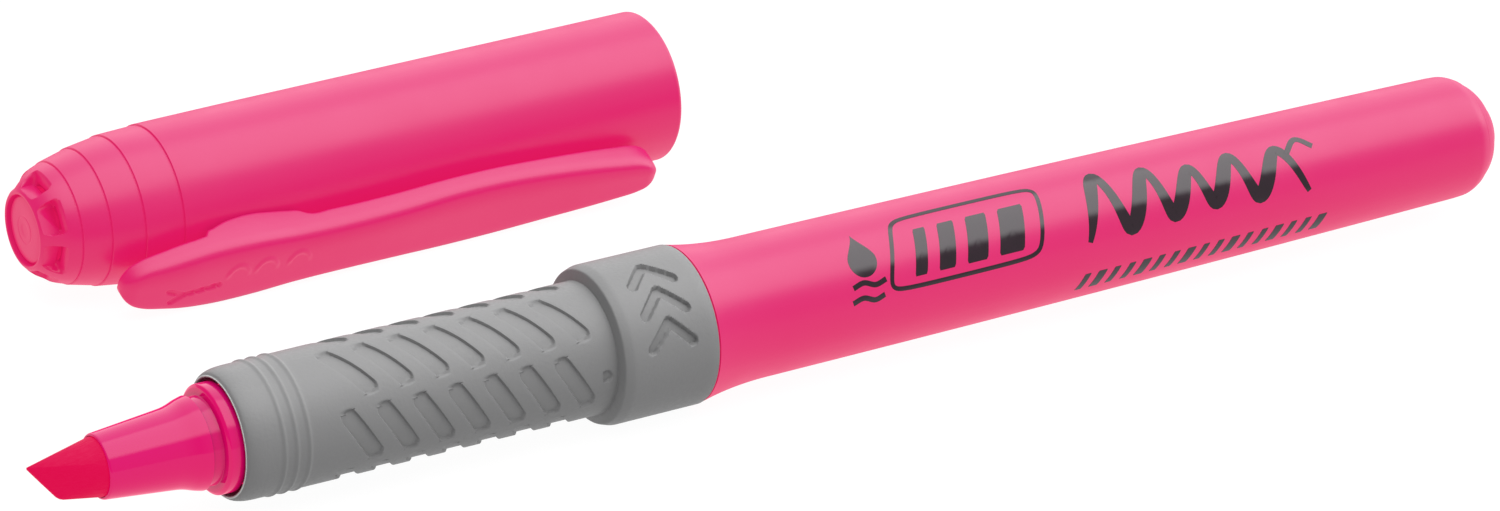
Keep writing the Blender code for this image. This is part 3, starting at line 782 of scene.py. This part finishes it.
# Half width, outer height and inner height along the leaf, each at a cap station.
WIDTH_POINTS = (
    (3.4, 1.4), (6.7, 1.78), (9.1, 2.10), (13.8, 2.55), (18.5, 2.85), (23.0, 2.88), (27.3, 2.68),
    (31.7, 2.58), (37.0, 2.66), (40.5, 2.90), (44.8, 2.88), (46.8, 2.64), (48.8, 2.27), (51.0, 1.9),
    (52.9, 1.6))
OUTER_POINTS = (
    (3.4, 9.3), (6.7, 9.22), (9.1, 9.13), (13.8, 8.97), (18.5, 8.90), (23.0, 8.93), (27.3, 9.04),
    (37.0, 9.07), (44.8, 9.02), (46.8, 8.97), (48.8, 8.8), (51.0, 8.48), (52.9, 8.15))
INNER_POINTS = (
    (3.4, 6.92), (18.5, 6.9), (33.5, 6.88), (35.3, 6.83), (35.6, 6.7), (36.1, 6.35), (37.0, 6.12),
    (38.75, 5.87), (40.5, 5.72), (41.4, 5.8), (42.7, 6.0), (43.8, 6.35), (44.3, 6.5), (44.6, 6.86),
    (45.0, 6.92), (46.8, 6.95), (52.9, 7.05))
ARCH_STATIONS = (42.4, 39.9, 37.0)
DART_STROKES = (((48.3, -0.2), (47.0, -0.8)), ((48.0, -1.45), (47.0, -0.8)), ((47.0, -0.8), (44.0, -0.5)))


def clip_outline(station):
    """Half width, outer height and inner height of the leaf, whose ends are blunt and rounded."""
    centre, half = (CLIP_FRONT + CLIP_REAR) / 2, (CLIP_REAR - CLIP_FRONT) / 2
    near = np.clip(1 - np.abs(station - centre) / half, 0.0, 1.0) * half
    blunt = np.sqrt(1 - (1 - np.clip(near / 2.8, 0, 1)) ** 2.4)
    width = (through(WIDTH_POINTS, station) + 0.06) * blunt
    thin = np.sqrt(1 - (1 - np.clip(near / 1.2, 0, 1)) ** 2)
    outer = through(OUTER_POINTS, station) + CLIP_SWELL - 0.95 * (1 - thin)
    inner = through(INNER_POINTS, station) + 0.45 * (1 - thin)
    return width, outer, inner


def clip_inner(across, edge):
    """Height of the leaf's inner face: it saddles over the cap where its bridge comes down."""
    over_pad = np.maximum(edge, SADDLE_HEIGHT)
    hugging = np.maximum(edge, np.sqrt(np.maximum(SKIRT_CLEARANCE ** 2 - across ** 2, 0.0)))
    share = smoothstep(PAD_HALF_WIDTH + 0.1, PAD_HALF_WIDTH + 0.25, np.abs(across))
    return over_pad + (hugging - over_pad) * share


def clip_relief(station, across):
    """Low arched ridges and a sunk dart on the leaf's outer face."""
    raised = np.zeros(np.broadcast(station, across).shape)
    for centre in ARCH_STATIONS:
        ring = np.hypot((station - centre) / 0.95, (across + 0.1) / 1.25) - 1.0
        fade = smoothstep(-0.25, 0.6, across)
        raised = np.maximum(raised, smoothstep(0.3, 0.05, np.abs(ring)) * 0.1 * fade)
    sunk = np.zeros(raised.shape)
    for start, end in DART_STROKES:
        distance = to_segment(station, across, start, end)
        sunk = np.maximum(sunk, smoothstep(0.3, 0.15, distance) * 0.22)
    return raised - sunk


def clip_section(width, outer, inner):
    """Points around the leaf, each (across, height, share of the relief that it takes).

    The outer face and sides are softly domed and the inner face is saddled.
    """
    foot = min(0.3, width * 0.3)
    reach = outer - inner - foot
    drop = min(reach * 0.95, 2.0)
    points = []
    for share in np.linspace(-0.999, 0.999, 76):
        bend = math.sin(share * math.pi / 2)
        power = EDGE_POWER if bend > 0 else LOWER_EDGE_POWER
        height = outer - drop * (1 - (1 - abs(bend) ** power) ** (1 / power))
        points.append((width * bend, height, 1.0 - abs(bend) ** 4))
    edge = width - foot
    low = float(clip_inner(edge, inner))
    for turn in np.radians(np.linspace(0, -82, 6)):
        points.append((edge + foot * math.cos(turn), low + foot + foot * math.sin(turn), 0.0))
    for across in np.linspace(edge, -edge, 46):
        points.append((across, float(clip_inner(across, inner)), 0.0))
    for turn in np.radians(np.linspace(-98, -180, 6)):
        points.append((-edge + foot * math.cos(turn), low + foot + foot * math.sin(turn), 0.0))
    return points


def make_clip():
    ends = 1 - np.cos(np.linspace(0, math.pi / 2, 26))
    stations = np.concatenate([
        CLIP_FRONT + 0.01 + 2.6 * ends, np.linspace(CLIP_FRONT + 2.8, BRIDGE_FRONT - 2, 60),
        np.arange(BRIDGE_FRONT - 1.9, CLIP_REAR - 2.97, 0.08), CLIP_REAR - 0.01 - 2.9 * ends[::-1],
    ])
    rows = []
    for station in stations:
        width, outer, inner = (float(value) for value in clip_outline(station))
        section = clip_section(width, outer, inner)
        across, height, takes = (np.array(part) for part in zip(*section))
        rows.append(clip_place(station, across, height + clip_relief(station, across) * takes))
    shape = bmesh.new()
    add_grid(shape, np.array(rows), False, True, True)
    return dressed(finish_mesh("clip_skin", shape, 50), PINK, "clip", "pink_plastic", "pocket_clip")


# ------------------------------------------------------------ print on the barrel

PRINT_LIFT = 0.014      # how far the ink stands off the barrel
PRINT_SINK = -0.02      # how far its hidden underside reaches in
PRINT_DEGREE = BARREL_WAIST_RADIUS * math.radians(1)    # mm round the barrel in one degree
LINE_WIDTH = 0.36
RIPPLE_WIDTH = 0.42
DROP_PLACE = (14.0, 46)         # like the next ones, a station and an angle in degrees
RIPPLES = (((12.6, 26), (13.6, 28.5), (14.6, 25), (15.6, 27.5)),
           ((12.4, 14), (13.4, 16.5), (14.4, 13), (15.3, 15.5)))
FRAME_CORNERS = ((16.6, 15.5), (28.6, 15.5), (29.9, 21.0), (31.2, 70.0), (30.4, 76.5), (18.8, 76.5),
                 (17.6, 71.0), (15.9, 22.0))
SCRIBBLE = ((34.4, 16.0), (36.6, 72.0), (38.4, 20.0), (41.0, 66.0), (42.6, 22.0), (45.0, 58.0),
            (46.6, 24.0), (49.0, 60.0), (50.8, 20.0), (53.4, 56.0), (55.6, 14.0))
FLOURISH = ((54.2, 50), (55.6, 62), (56.9, 52))
BARS = ((19.3, 0.55), (21.7, 0.75), (24.5, 0.95), (27.7, 1.15))     # station and half width
BAR_ANGLE = 43
DASHES = 17
DASH_SPAN = (34.1, 56.9)
DASH_ANGLE = -21.5


def round_barrel(points):
    """Flat print places, in mm, from points with a station and an angle in degrees."""
    return [(station, angle * PRINT_DEGREE) for station, angle in points]


def smooth_path(points, per_span=12):
    """Catmull-Rom curve through control points."""
    points = np.array(points, float)
    made = []
    for i in range(len(points) - 1):
        b, c = points[i], points[i + 1]
        a = points[i - 1] if i else 2 * b - c
        d = points[i + 2] if i + 2 < len(points) else 2 * c - b
        for t in np.linspace(0, 1, per_span, endpoint=False):
            made.append(0.5 * (2 * b + (c - a) * t + (2 * a - 5 * b + 4 * c - d) * t * t
                               + (3 * b - a - 3 * c + d) * t ** 3))
    return np.array([*made, points[-1]])


def on_barrel(flat, lift):
    """Places on the barrel from (station, distance around it in mm) points."""
    radius = barrel_radius(flat[..., 0])
    return pen_place(flat[..., 0], radius + lift, flat[..., 1] / BARREL_WAIST_RADIUS)


def add_stroke(shape, path, widths, closed=False):
    """A flat band of ink along a path, with closed ends."""
    path = np.array(path, float)
    if closed:
        along = np.roll(path, -1, 0) - np.roll(path, 1, 0)
    else:
        along = np.gradient(path, axis=0)
    along /= np.linalg.norm(along, axis=1)[:, None]
    half = np.broadcast_to(widths, len(path))[:, None] / 2
    side = np.stack([-along[:, 1], along[:, 0]], -1) * half
    ribs = [on_barrel(path + side * share, PRINT_LIFT) for share in np.linspace(-1, 1, 5)]
    hidden = [on_barrel(path + side * share, PRINT_SINK) for share in (-1, 1)]
    add_grid(shape, np.stack([hidden[0], *ribs, hidden[1]], 1), closed, True, not closed)


def add_patch(shape, centre, outline):
    """A filled patch of ink: rings from its centre out to a closed outline."""
    outline = np.array(outline, float)
    centre = np.array(centre, float)
    shares = (0.02, 0.25, 0.5, 0.75, 1.0)
    rings = [on_barrel(centre + (outline - centre) * share, PRINT_LIFT) for share in shares]
    rings.append(on_barrel(outline, PRINT_SINK))
    add_grid(shape, np.array(rings), False, True, True)


def slanted_bar(centre, half_width, half_height, slant):
    """A leaning bar with rounded corners, as a closed outline."""
    x, y = centre
    corners = [(x - half_width - slant, y - half_height), (x + half_width - slant, y - half_height),
               (x + half_width + slant, y + half_height), (x - half_width + slant, y + half_height)]
    made = []
    for i in range(4):
        a, b = np.array(corners[i]), np.array(corners[(i + 1) % 4])
        for t in np.linspace(0.06, 0.94, 9):
            made.append(a + (b - a) * t)
    return made


def add_drop(shape):
    """An ink drop over two ripples."""
    (centre,) = round_barrel([DROP_PLACE])
    drop = []
    for turn in np.linspace(0, TAU, 40, endpoint=False):
        pull = max(math.sin(turn), 0.0) ** 3
        station = centre[0] + 1.25 * math.cos(turn) * (1 - pull)
        drop.append((station, centre[1] + 1.3 * math.sin(turn) + 1.1 * pull))
    add_patch(shape, centre, drop)
    for ripple in RIPPLES:
        add_stroke(shape, smooth_path(round_barrel(ripple)), RIPPLE_WIDTH)


def add_frame(shape):
    """A rounded leaning frame round four bars, each wider than the one before."""
    corners = round_barrel(FRAME_CORNERS)
    loop = []
    for here, after in zip(corners, corners[1:] + corners[:1]):
        for t in np.linspace(0.0, 1.0, 8, endpoint=False):
            loop.append((here[0] + (after[0] - here[0]) * t, here[1] + (after[1] - here[1]) * t))
    loop = np.array(loop)
    for _ in range(6):
        loop = (np.roll(loop, 1, 0) + loop * 2 + np.roll(loop, -1, 0)) / 4
    add_stroke(shape, loop, LINE_WIDTH, closed=True)
    for station, half_width in BARS:
        centre = (station, BAR_ANGLE * PRINT_DEGREE)
        add_patch(shape, centre, slanted_bar(centre, half_width, 19.5 * PRINT_DEGREE, 0.55))


def add_scribble(shape):
    """A zigzag marker stroke that swells and thins, and a short flourish at its end."""
    path = smooth_path(round_barrel(SCRIBBLE), per_span=16)
    share = np.linspace(0, 1, len(path))
    widths = 1.1 + 0.28 * np.sin(share * TAU * 5 + 0.6)
    widths *= 0.35 + 0.65 * np.minimum(1, np.minimum(share, 1 - share) * 14)
    add_stroke(shape, path, widths)
    add_stroke(shape, smooth_path(round_barrel(FLOURISH), per_span=8), 0.5)


def add_dashes(shape):
    """A row of slanted dashes, every third one wider."""
    for i, station in enumerate(np.linspace(*DASH_SPAN, DASHES)):
        centre = (station, DASH_ANGLE * PRINT_DEGREE)
        half_width = 0.3 + 0.12 * (i % 3 == 1)
        add_patch(shape, centre, slanted_bar(centre, half_width, 9.0 * PRINT_DEGREE, 0.28))


def make_print():
    shape = bmesh.new()
    add_drop(shape)
    add_frame(shape)
    add_scribble(shape)
    add_dashes(shape)
    return dressed(finish_mesh("barrel_print", shape, 40), PRINT, "pen", "pink_plastic")


# ------------------------------------------------------------ stage, lights and camera

WALL_LIGHT = 0.4
FRONT_LIGHT = 0.25
BOX_LIGHT = 3.3
BACK_LIGHT = 1.3
FLOOR_REACH = 3.0       # metres from the middle to each edge
CAMERA_LENS = 156.0
CAMERA_DEGREES = (-32.555, 26.962, 2.647)       # azimuth, elevation and roll
CAMERA_OFFSET = (-232.165, -373.410, 229.834)   # mm from the rear face of the grip's collar


def make_stage():
    shape = bmesh.new()
    reach = FLOOR_REACH
    for x, y in ((-reach, -reach), (reach, -reach), (reach, reach), (-reach, reach)):
        shape.verts.new((x, y, 0.0))
    shape.faces.new(shape.verts)
    mesh = bpy.data.meshes.new("floor")
    shape.to_mesh(mesh)
    shape.free()
    floor = bpy.data.objects.new("floor", mesh)
    bpy.context.scene.collection.objects.link(floor)
    made, tree, shader = node_material("floor_white")
    shader.inputs["Base Color"].default_value = (0.06, 0.06, 0.06, 1)
    shader.inputs["Roughness"].default_value = 0.9
    shader.inputs["Specular IOR Level"].default_value = 0.0
    shader.inputs["Emission Color"].default_value = (1, 1, 1, 1)
    shader.inputs["Emission Strength"].default_value = 0.96
    mesh.materials.append(made)


def value_of(node_input, value):
    """Sets a node's input to a number, or links it to an output."""
    if isinstance(value, (int, float)):
        node_input.default_value = value
    else:
        node_input.id_data.links.new(value, node_input)


def sums(tree, operation, first, second):
    made = tree.nodes.new("ShaderNodeMath")
    made.operation = operation
    value_of(made.inputs[0], first)
    value_of(made.inputs[1], second)
    return made.outputs[0]


def band(tree, source, low, high):
    """A soft 0-1 step as a source passes from low to high."""
    made = tree.nodes.new("ShaderNodeMapRange")
    made.interpolation_type = "SMOOTHSTEP"
    made.inputs["From Min"].default_value = low
    made.inputs["From Max"].default_value = high
    tree.links.new(source, made.inputs["Value"])
    return made.outputs["Result"]


def make_sky():
    """Studio tent: a softbox overhead that leans to the near side, a paler back and dim walls."""
    world = bpy.data.worlds.new("studio")
    bpy.context.scene.world = world
    world.use_nodes = True
    tree = world.node_tree
    back = tree.nodes["Background"]
    place = tree.nodes.new("ShaderNodeTexCoord")
    split = tree.nodes.new("ShaderNodeSeparateXYZ")
    tree.links.new(place.outputs["Generated"], split.inputs["Vector"])
    lean = sums(tree, "DIVIDE", split.outputs["Y"], sums(tree, "MAXIMUM", split.outputs["Z"], 0.001))
    behind = band(tree, lean, 0.2, 0.4)
    box = sums(tree, "SUBTRACT", band(tree, lean, -1.2, -0.76), behind)
    box_light = sums(tree, "MULTIPLY", box, BOX_LIGHT)
    light = sums(tree, "ADD", box_light, sums(tree, "MULTIPLY", behind, BACK_LIGHT))
    above = band(tree, split.outputs["Z"], 0.0, 0.1)
    reach = sums(tree, "DIVIDE", split.outputs["X"], sums(tree, "MAXIMUM", split.outputs["Z"], 0.001))
    light = sums(tree, "MULTIPLY", light, above)
    overhead = sums(tree, "MULTIPLY", light, band(tree, reach, -1.0, -0.3))
    walls = sums(tree, "MULTIPLY_ADD", band(tree, split.outputs["X"], -0.6, 0.3), WALL_LIGHT)
    walls.node.inputs[2].default_value = FRONT_LIGHT
    total = sums(tree, "ADD", overhead, walls)
    tree.links.new(total, back.inputs["Strength"])
    back.inputs["Color"].default_value = (1, 1, 1, 1)


def make_camera():
    data = bpy.data.cameras.new("camera")
    camera = bpy.data.objects.new("camera", data)
    bpy.context.scene.collection.objects.link(camera)
    data.lens = CAMERA_LENS
    data.sensor_width = 36.0
    data.clip_start = 0.01
    data.clip_end = 20.0
    azimuth, elevation, roll = (math.radians(value) for value in CAMERA_DEGREES)
    level = math.cos(elevation)
    back = Vector((math.sin(azimuth) * level, -math.cos(azimuth) * level, math.sin(elevation)))
    aim = (-back).to_track_quat("-Z", "Y").to_matrix()
    camera.rotation_euler = (aim @ Matrix.Rotation(roll, 3, "Z")).to_euler()
    camera.location = PEN + Vector(CAMERA_OFFSET) * MM
    bpy.context.scene.camera = camera


make_barrel()
make_plug()
make_grip()
make_holder()
make_nib()
make_shell()
make_seal()
make_clip()
make_print()
for node, material in (("ink_reservoir", INK_FIBRE), ("reservoir_film", FILM)):
    obj = frame["nodes"][node]
    for slot in obj.material_slots:
        slot.material = material
make_stage()
make_sky()
make_camera()
bpy.context.scene.view_settings.view_transform = "Standard"
